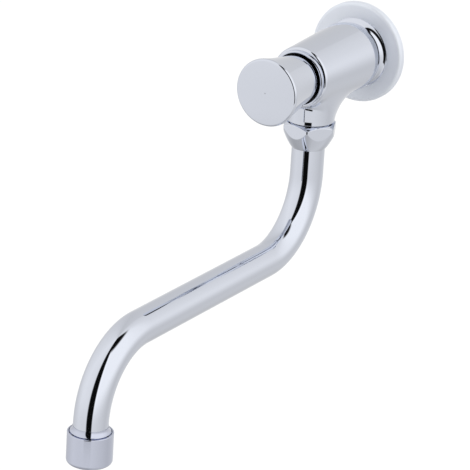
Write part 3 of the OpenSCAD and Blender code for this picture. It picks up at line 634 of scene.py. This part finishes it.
class WALLTAP_OT_flange(bpy.types.Operator):
    """Make the spun wall flange"""

    bl_idname = "wall_tap.flange"
    bl_label = "Wall flange"

    def execute(self, context):
        sizes = context.scene.wall_tap_sizes
        outer = width("wall_flange") / 2
        height = stretch("wall_flange")[1]
        hole = 10.775 * MM
        inner = outer - sizes.sheet
        outline = rounded([
            (inner, 0), (outer, 0), (outer, height, sizes.flange_rim), (hole, height),
            (hole, height - sizes.sheet), (inner, height - sizes.sheet, sizes.flange_rim - sizes.sheet)])
        dish = make_mesh("flange_dish", *revolve(outline, on_barrel))
        slot_materials()
        finish_piece(dish, bpy.data.materials["satin_chrome"], "chrome", "tap_body", "wall_flange")
        return {"FINISHED"}


class WALLTAP_OT_button(bpy.types.Operator):
    """Make the flared push button and the bezel ring round it"""

    bl_idname = "wall_tap.button"
    bl_label = "Button and bezel ring"

    def execute(self, context):
        sizes = context.scene.wall_tap_sizes
        chrome = slot_materials()["chrome"]
        rear, top = stretch("push_button")
        body_front = stretch("valve_body")[1]
        flare_start = body_front + 3 * MM
        flare_end = top - sizes.dome - sizes.button_edge
        shank, rim = sizes.shank_diameter / 2, width("push_button") / 2
        shares = np.linspace(0, 1, 49)
        flare = [(shank + (rim - shank) * t - 4 * sizes.flare_sag * t * (1 - t),
                  flare_start + (flare_end - flare_start) * t) for t in shares]
        face_r = rim - sizes.button_edge
        dome_r = (face_r ** 2 + sizes.dome ** 2) / 2 / sizes.dome
        dome_turn = math.degrees(math.asin(face_r / dome_r))
        cap_r = width("button_core") / 2 + 0.05 * MM
        cap_top = stretch("button_core")[1]
        outline = [(shank, rear + 0.3 * MM), (shank, flare_start - 0.5 * MM)] + flare
        outline += arc((face_r, flare_end), sizes.button_edge, 4, 90 - dome_turn, 12)
        outline += arc((0, top - dome_r), dome_r, 90 - dome_turn, 90, 40)[1:-1] + [(0, top)]
        outline += [(0, cap_top), (cap_r, cap_top), (cap_r, rear), (shank - 0.3 * MM, rear)]
        cap = make_mesh("button_cap", *revolve(outline, on_barrel))
        finish_piece(cap, chrome, "chrome", "button", "push_button")
        low, high = stretch("bezel_ring")
        outer = width("bezel_ring") / 2
        thread_r, bore = outer - 0.2 * MM, 14.2 * MM
        half = (outer - bore) / 2
        outline = [(bore, low), (thread_r, low), (thread_r, body_front), (outer, body_front + 0.1 * MM)]
        outline += arc((outer - half, high - 2 * half), 2 * half, 60, 90)
        outline += arc((bore + half / 2, high - half / 2), half / 2, 90, 180)
        ring = make_mesh("bezel", *revolve(outline, on_barrel))
        finish_piece(ring, chrome, "chrome", "tap_body", "bezel_ring")
        return {"FINISHED"}


def hexagon(flats, corner, angles):
    """Radius of a hexagon with rounded corners at each angle from a corner."""
    off = np.abs((angles + TURN / 12) % (TURN / 6) - TURN / 12)
    middle = (flats / 2 - corner) / math.cos(TURN / 12)
    limit = math.atan2(corner / 2, middle + corner * math.cos(TURN / 12))
    inside = np.clip(corner ** 2 - (middle * np.sin(off)) ** 2, 0, None)
    return np.where(off < limit, middle * np.cos(off) + np.sqrt(inside),
                    flats / 2 / np.cos(TURN / 12 - off))


def soft_least(first, second, width_of_edge):
    """The smaller of two radii, with the edge between them rounded."""
    near = np.clip(1 - np.abs(first - second) / width_of_edge, 0, None)
    return np.minimum(first, second) - near ** 2 * width_of_edge / 4


class WALLTAP_OT_nut(bpy.types.Operator):
    """Make the hexagonal union nut that runs out into a cone"""

    bl_idname = "wall_tap.nut"
    bl_label = "Union nut"

    def execute(self, context):
        sizes = context.scene.wall_tap_sizes
        low, high = heights("union_nut")[0], -sizes.neck_drop - sizes.nut_groove
        corner = sizes.nut_across / 2
        share = np.arange(56) / 56
        sector = TURN / 6 * (share - 0.75 * np.sin(TURN * share) / TURN)
        angles = np.concatenate([sector + k * TURN / 6 for k in range(6)])
        side = hexagon(sizes.nut_flats, sizes.nut_corner, angles)
        tip = width("spout_tube") / 2 + 0.5 * MM
        cone_top = low + sizes.nut_cone_top
        chamfer_low = high - sizes.nut_chamfer
        levels = np.concatenate([np.linspace(low, cone_top, 90)[:-1], np.linspace(cone_top, chamfer_low, 10)[:-1],
                                 np.linspace(chamfer_low, high, 18)])
        # The cone bulges: it rises by its slope at the tip and a square term
        rise = np.linspace(0, corner - tip, 40)
        slope = math.tan(sizes.nut_cone)
        bulge = (sizes.nut_cone_top / (corner - tip) - slope) / (corner - tip)
        turned = np.interp(levels, np.concatenate([low + slope * rise + bulge * rise ** 2, [chamfer_low, high]]),
                           np.concatenate([tip + rise, [corner, sizes.nut_flats / 2 - 0.5 * MM]]))
        outline = [(soft_least(side, r, 0.15 * MM), z) for r, z in zip(turned, levels)]
        thread = width("slip_ring") / 2 + 0.15 * MM
        bore = tip - 0.2 * MM
        shoulder = heights("slip_ring")[0]
        outline += [(thread + 0.5 * MM, high), (thread, high - 0.5 * MM), (thread, shoulder),
                    (bore, shoulder), (bore, low)]
        points, faces = revolve(outline, upright(0), angles)
        near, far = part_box("union_nut")
        spun = points @ np.array(Matrix.Rotation(sizes.nut_turn, 3, "Z")).T
        nut = make_mesh("union_nut_hex", spun + np.array([0, (near.y + far.y) / 2, 0]), faces)
        finish_piece(nut, slot_materials()["chrome"], "chrome", "tap_body", "union_nut")
        return {"FINISHED"}


def tube_tree(material):
    """Geometry nodes that round a path's corners and sweep a tube along it."""
    tree = bpy.data.node_groups.new("bent_tube", "GeometryNodeTree")
    tree.interface.new_socket("Geometry", in_out="INPUT", socket_type="NodeSocketGeometry")
    for name in ("Bend radius", "Tube radius"):
        tree.interface.new_socket(name, in_out="INPUT", socket_type="NodeSocketFloat")
    tree.interface.new_socket("Geometry", in_out="OUTPUT", socket_type="NodeSocketGeometry")
    given = add(tree, "NodeGroupInput")
    path = add(tree, "GeometryNodeMeshToCurve", {"Mesh": given.outputs["Geometry"]})
    bent = add(tree, "GeometryNodeFilletCurve", {"Curve": path.outputs[0], "Count": 72,
                                                 "Radius": given.outputs["Bend radius"]}, mode="POLY")
    section = add(tree, "GeometryNodeCurvePrimitiveCircle", {"Resolution": 128,
                                                             "Radius": given.outputs["Tube radius"]})
    swept = add(tree, "GeometryNodeCurveToMesh", {"Curve": bent.outputs[0],
                                                  "Profile Curve": section.outputs[0]})
    whole = add(tree, "GeometryNodeRealizeInstances", {"Geometry": swept.outputs[0]})
    painted = add(tree, "GeometryNodeSetMaterial", {"Geometry": whole.outputs[0], "Material": material})
    add(tree, "NodeGroupOutput", {"Geometry": painted.outputs[0]})
    return tree


def spring_tree(material):
    """Geometry nodes that wind a wire into a spring along +Z."""
    tree = bpy.data.node_groups.new("wound_spring", "GeometryNodeTree")
    tree.interface.new_socket("Geometry", in_out="INPUT", socket_type="NodeSocketGeometry")
    for name in ("Coil radius", "Wire radius", "Length", "Turns"):
        tree.interface.new_socket(name, in_out="INPUT", socket_type="NodeSocketFloat")
    tree.interface.new_socket("Geometry", in_out="OUTPUT", socket_type="NodeSocketGeometry")
    given = add(tree, "NodeGroupInput")
    coil = add(tree, "GeometryNodeCurveSpiral", {
        "Resolution": 32, "Rotations": given.outputs["Turns"], "Start Radius": given.outputs["Coil radius"],
        "End Radius": given.outputs["Coil radius"], "Height": given.outputs["Length"]})
    section = add(tree, "GeometryNodeCurvePrimitiveCircle", {"Resolution": 16,
                                                             "Radius": given.outputs["Wire radius"]})
    swept = add(tree, "GeometryNodeCurveToMesh", {"Curve": coil.outputs[0], "Fill Caps": True,
                                                  "Profile Curve": section.outputs[0]})
    whole = add(tree, "GeometryNodeRealizeInstances", {"Geometry": swept.outputs[0]})
    painted = add(tree, "GeometryNodeSetMaterial", {"Geometry": whole.outputs[0], "Material": material})
    add(tree, "NodeGroupOutput", {"Geometry": painted.outputs[0]})
    return tree


def set_inputs(modifier, values):
    """Sets a node modifier's inputs by their sockets' identifiers."""
    for item in modifier.node_group.interface.items_tree:
        if item.in_out == "INPUT" and item.name in values:
            modifier[item.identifier] = values[item.name]


class WALLTAP_OT_spout(bpy.types.Operator):
    """Make the bent tube of the spout with its threaded end"""

    bl_idname = "wall_tap.spout"
    bl_label = "Spout"

    def execute(self, context):
        sizes = context.scene.wall_tap_sizes
        chrome = slot_materials()["chrome"]
        low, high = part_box("spout_tube")
        radius = (high.x - low.x) / 2
        start_y, end_y = high.y - radius, low.y + radius
        # The run lies one bend above the tube's lower straight end
        run_z = low.z + sizes.end_leg + sizes.bend
        corners = [(0, start_y, high.z), (0, start_y, run_z), (0, end_y, run_z), (0, end_y, low.z)]
        path = bpy.data.meshes.new("spout_path")
        path.from_pydata(corners, [(0, 1), (1, 2), (2, 3)], [])
        tube = bpy.data.objects.new("spout_pipe", path)
        context.scene.collection.objects.link(tube)
        bends = tube.modifiers.new("Bent tube", "NODES")
        bends.node_group = tube_tree(chrome)
        set_inputs(bends, {"Bend radius": sizes.bend, "Tube radius": radius})
        wall = tube.modifiers.new("Wall", "SOLIDIFY")
        wall.thickness = sizes.tube_wall
        wall.offset = -1
        wall.use_rim = True
        as_mesh(tube)
        shade(tube.data)
        finish_piece(tube, chrome, "chrome", "spout", "spout_tube")
        axis_y = end_y
        low_z, top_z = heights("spout_end")
        nozzle_top = heights("nozzle")[1]
        thread = width("spout_end") / 2
        bore = radius - sizes.tube_wall
        neck = thread - 0.65 * MM
        # The bell is an arc that leaves the tube along its side
        brim, start_r = neck + 0.2 * MM, radius + 0.15 * MM
        sweep = 50
        bell = (brim - start_r) / (1 - math.cos(math.radians(sweep)))
        flared = arc((start_r + bell, top_z), bell, 180, 180 + sweep, 16)
        outline = [(radius + 0.05 * MM, top_z)] + flared[:-1] + rounded([
            flared[-2], (*flared[-1], sizes.bell_edge), (neck, nozzle_top), (neck, nozzle_top - 0.9 * MM)],
            5)[1:] + [(thread, nozzle_top - 1.4 * MM), (thread, low_z), (bore, low_z), (bore, low.z),
                      (radius + 0.05 * MM, low.z)]
        end = make_mesh("spout_threaded_end", *revolve(outline, upright(axis_y)))
        # The spout's end takes the darker copy of the chrome, painted shade for its darker reflections.
        finish_piece(end, bpy.data.materials["shaded_nozzle_chrome"], "chrome", "spout", "spout_end")
        return {"FINISHED"}


class WALLTAP_OT_nozzle(bpy.types.Operator):
    """Make the nozzle sleeve on the spout's end"""

    bl_idname = "wall_tap.nozzle"
    bl_label = "Nozzle"

    def execute(self, context):
        sizes = context.scene.wall_tap_sizes
        low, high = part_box("nozzle")
        radius = (high.x - low.x) / 2
        centre_y = (low.y + high.y) / 2
        thread = width("spout_end") / 2 + 0.05 * MM
        seat = 10.25 * MM
        mouth = 9.4 * MM
        lip = 1.6 * MM
        ledge = heights("aerator_housing")[1] - 1.3 * MM
        outline = rounded([
            (thread, high.z), (radius, high.z, 0.4 * MM), (radius, low.z, sizes.nozzle_edge),
            (mouth, low.z, 0.3 * MM), (mouth, low.z + lip), (seat, low.z + lip), (seat, ledge),
            (thread, ledge)], 12)
        sleeve = make_mesh("nozzle_sleeve", *revolve(outline, upright(centre_y)))
        slot_materials()
        # The sleeve takes the darker copy of the chrome, painted shade for its darker reflections.
        finish_piece(sleeve, bpy.data.materials["shaded_nozzle_chrome"], "chrome", "spout", "nozzle")
        return {"FINISHED"}


class WALLTAP_OT_inside(bpy.types.Operator):
    """Wind the return spring and give every CAD piece inside its finish"""

    bl_idname = "wall_tap.inside"
    bl_label = "Inner pieces"

    def execute(self, context):
        materials = slot_materials()
        low, high = stretch("return_spring")
        wire = 0.55 * MM
        coil = width("return_spring") / 2 - wire
        seed = bpy.data.meshes.new("return_coil")
        spring = bpy.data.objects.new("return_coil", seed)
        context.scene.collection.objects.link(spring)
        winding = spring.modifiers.new("Winding", "NODES")
        winding.node_group = spring_tree(materials["steel"])
        set_inputs(winding, {"Coil radius": coil, "Wire radius": wire, "Length": high - low - 2 * wire,
                             "Turns": 9.0})
        as_mesh(spring)
        spring.data.transform(Matrix.Translation((0, -low - wire, 0)) @ Matrix.Rotation(TURN / 4, 4, "X"))
        shade(spring.data)
        finish_piece(spring, materials["steel"], "steel", "tap_body", "return_spring")
        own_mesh(spring)
        slots = {row["node"]: row["material_slot"] for row in frame["record"]["subparts"]}
        for name, node in frame["nodes"].items():
            for place in node.material_slots:
                place.link = "OBJECT"
                place.material = materials[slots[name]]
        return {"FINISHED"}


# Stage

CAMERA_AZIMUTH = math.radians(30.860)
CAMERA_ELEVATION = math.radians(20.764)
CAMERA_ROLL = math.radians(3.475)
CAMERA_DISTANCE = 1670.966 * MM
CAMERA_TARGET = (0, -120 * MM, -60 * MM)
CAMERA_RIGHT = -0.941 * MM
CAMERA_UP = -11.974 * MM
FOCAL_PIXELS = 3196.431
IMAGE_WIDTH = 470
SENSOR = 36


def place_camera():
    """Camera at the photograph's viewing angle."""
    cos_a, sin_a = math.cos(CAMERA_AZIMUTH), math.sin(CAMERA_AZIMUTH)
    cos_e, sin_e = math.cos(CAMERA_ELEVATION), math.sin(CAMERA_ELEVATION)
    back = Vector((sin_a * cos_e, -cos_a * cos_e, sin_e))
    right = Vector((cos_a, sin_a, 0))
    up = back.cross(right)
    cos_r, sin_r = math.cos(CAMERA_ROLL), math.sin(CAMERA_ROLL)
    rolled_right = right * cos_r + up * sin_r
    rolled_up = up * cos_r - right * sin_r
    camera = bpy.data.objects.new("camera", bpy.data.cameras.new("camera"))
    camera.data.sensor_width = SENSOR
    camera.data.lens = FOCAL_PIXELS / IMAGE_WIDTH * SENSOR
    camera.data.clip_end = 50
    place = Matrix((rolled_right, rolled_up, back)).transposed().to_4x4()
    place.translation = (Vector(CAMERA_TARGET) + back * CAMERA_DISTANCE
                         + rolled_right * CAMERA_RIGHT + rolled_up * CAMERA_UP)
    camera.matrix_world = place
    bpy.context.scene.collection.objects.link(camera)
    bpy.context.scene.camera = camera


def mirror_room(tree):
    """What the chrome mirrors: pale panels all round, a dark gap beside the camera, and a pale floor.

    Levels are given by azimuth, where 0 looks out from the wall and 90 to the right."""
    around = add(tree, "ShaderNodeTexCoord").outputs["Generated"]
    axes = add(tree, "ShaderNodeSeparateXYZ", {0: around}).outputs
    out = add(tree, "ShaderNodeMath", {0: axes[1], 1: -1.0}, operation="MULTIPLY").outputs[0]
    azimuth = add(tree, "ShaderNodeMath", {0: axes[0], 1: out}, operation="ARCTAN2").outputs[0]
    elevation = add(tree, "ShaderNodeMath", {0: axes[2]}, operation="ARCSINE").outputs[0]
    # Soft edges, in degrees: where each one starts and where it is complete
    edges = {"gap_left": (azimuth, 0, 7), "gap_right": (azimuth, 41, 36), "gap_foot": (elevation, -24.5, -24.1),
             "top_left": (azimuth, 5, 13), "top_right": (azimuth, 150, 125), "top_foot": (elevation, 62, 71),
             "floor": (elevation, 13, -20), "below": (elevation, -22, -54)}
    step = {name: add(tree, "ShaderNodeMapRange", {
        "Value": source, "From Min": math.radians(low), "From Max": math.radians(high)},
        interpolation_type="SMOOTHSTEP").outputs[0] for name, (source, low, high) in edges.items()}
    dark = {}
    for name in ("gap", "top"):
        sides = add(tree, "ShaderNodeMath", {0: step[name + "_left"], 1: step[name + "_right"]},
                    operation="MULTIPLY")
        dark[name] = add(tree, "ShaderNodeMath", {0: sides.outputs[0], 1: step[name + "_foot"]},
                         operation="MULTIPLY").outputs[0]
    both = add(tree, "ShaderNodeMath", {0: dark["gap"], 1: dark["top"]}, operation="MAXIMUM").outputs[0]
    share = add(tree, "ShaderNodeMapRange", {"Value": azimuth, "From Min": -math.pi, "From Max": math.pi})
    levels = []
    for stops in (WALL_LEVELS, FLOOR_LEVELS, BELOW_LEVELS):
        ramp = add(tree, "ShaderNodeValToRGB", {0: share.outputs[0]})
        places = ramp.color_ramp.elements
        for i, (turn, level) in enumerate(stops):
            stop = places[i] if i < 2 else places.new(1)
            stop.position = (turn + 180) / 360
            stop.color = (level, level, level, 1)
        levels.append(ramp.outputs[0])
    pale = add(tree, "ShaderNodeMix", {"Factor": step["floor"], "A": levels[0], "B": levels[1]},
               data_type="RGBA")
    pale = add(tree, "ShaderNodeMix", {"Factor": step["below"], "A": pale.outputs["Result"],
                                       "B": levels[2]}, data_type="RGBA")
    room = add(tree, "ShaderNodeMix", {"Factor": both, "A": pale.outputs["Result"], "B": DARK_GAP},
               data_type="RGBA")
    return add(tree, "ShaderNodeBackground", {"Color": room.outputs["Result"], "Strength": 1.0})


WALL_LEVELS = ((-180, 0.75), (-140, 0.69), (-105, 0.86), (-55, 0.98), (-15, 0.94), (0, 0.90), (42, 1.20),
               (52, 1.12), (110, 1.12), (135, 1.02), (150, 0.90), (180, 0.80))
FLOOR_LEVELS = ((-180, 0.76), (-140, 0.86), (-118, 0.68), (-90, 0.77), (-55, 0.88), (-20, 0.85), (42, 0.86),
                (65, 0.82), (100, 0.75), (130, 0.68), (180, 0.76))
BELOW_LEVELS = ((-180, 0.50), (-90, 0.47), (-40, 0.52), (20, 0.52), (60, 0.66), (140, 0.72), (180, 0.50))
DARK_GAP = (0.004, 0.004, 0.004, 1)


class WALLTAP_OT_stage(bpy.types.Operator):
    """Set up the floor, the light and the camera"""

    bl_idname = "wall_tap.stage"
    bl_label = "Stage"

    def execute(self, context):
        stage = context.scene.wall_tap_stage
        place_camera()
        self.place_floor(stage)
        lamp = bpy.data.lights.new("overhead", "SUN")
        lamp.energy = stage.sun
        lamp.angle = stage.sun_spread
        light = bpy.data.objects.new("overhead", lamp)
        light.rotation_euler = (math.radians(22), math.radians(14), 0)
        light.visible_glossy = False
        context.scene.collection.objects.link(light)
        world = bpy.data.worlds.new("white_room")
        context.scene.world = world
        world.use_nodes = True
        tree = world.node_tree
        tree.nodes.clear()
        light = add(tree, "ShaderNodeBackground", {"Color": (1, 1, 1, 1), "Strength": stage.fill})
        seen = add(tree, "ShaderNodeBackground", {"Color": (1, 1, 1, 1), "Strength": 1.0})
        rays = add(tree, "ShaderNodeLightPath")
        mirrored = add(tree, "ShaderNodeMixShader", {0: rays.outputs["Is Glossy Ray"], 1: light.outputs[0],
                                                     2: mirror_room(tree).outputs[0]})
        mixed = add(tree, "ShaderNodeMixShader", {0: rays.outputs["Is Camera Ray"], 1: mirrored.outputs[0],
                                                  2: seen.outputs[0]})
        add(tree, "ShaderNodeOutputWorld", {"Surface": mixed.outputs[0]})
        context.scene.view_settings.view_transform = "Standard"
        return {"FINISHED"}

    def place_floor(self, stage):
        """Plain pale floor. The chrome mirrors the room's own floor level in its place."""
        half = stage.floor_width / 2
        height = heights("nozzle")[0] - stage.floor_drop
        corners = [(-half, -half, height), (half, -half, height), (half, half, height), (-half, half, height)]
        mesh = bpy.data.meshes.new("floor")
        mesh.from_pydata(corners, [], [(0, 1, 2, 3)])
        floor = bpy.data.objects.new("floor", mesh)
        bpy.context.scene.collection.objects.link(floor)
        material, tree = new_material("floor_paint")
        close_material(tree, add(tree, "ShaderNodeBsdfDiffuse", {"Color": stage.floor_tint}))
        mesh.materials.append(material)
        floor.visible_glossy = False


class WALLTAP_PT_panel(bpy.types.Panel):
    """Lists the tap's pieces and its sizes"""

    bl_idname = "WALLTAP_PT_panel"
    bl_label = "Wall Tap"
    bl_space_type = "VIEW_3D"
    bl_region_type = "UI"
    bl_category = "Wall Tap"

    def draw(self, context):
        scene = context.scene
        for step in STEPS:
            self.layout.operator(step.bl_idname)
        for group in (scene.wall_tap_sizes, scene.wall_tap_finish, scene.wall_tap_stage):
            box = self.layout.box()
            for name in group.__annotations__:
                box.prop(group, name)


STEPS = (WALLTAP_OT_body, WALLTAP_OT_flange, WALLTAP_OT_button, WALLTAP_OT_nut, WALLTAP_OT_spout,
         WALLTAP_OT_nozzle, WALLTAP_OT_inside, WALLTAP_OT_stage)
CLASSES = (WallTapSizes, WallTapFinish, WallTapStage) + STEPS + (WALLTAP_PT_panel,)


def register():
    for cls in CLASSES:
        bpy.utils.register_class(cls)
    bpy.types.Scene.wall_tap_sizes = PointerProperty(type=WallTapSizes)
    bpy.types.Scene.wall_tap_finish = PointerProperty(type=WallTapFinish)
    bpy.types.Scene.wall_tap_stage = PointerProperty(type=WallTapStage)


def unregister():
    del bpy.types.Scene.wall_tap_stage
    del bpy.types.Scene.wall_tap_finish
    del bpy.types.Scene.wall_tap_sizes
    for cls in reversed(CLASSES):
        bpy.utils.unregister_class(cls)


def main():
    register()
    bpy.ops.wall_tap.body()
    bpy.ops.wall_tap.flange()
    bpy.ops.wall_tap.button()
    bpy.ops.wall_tap.nut()
    bpy.ops.wall_tap.spout()
    bpy.ops.wall_tap.nozzle()
    bpy.ops.wall_tap.inside()
    bpy.ops.wall_tap.stage()


if __name__ == "__main__":
    main()
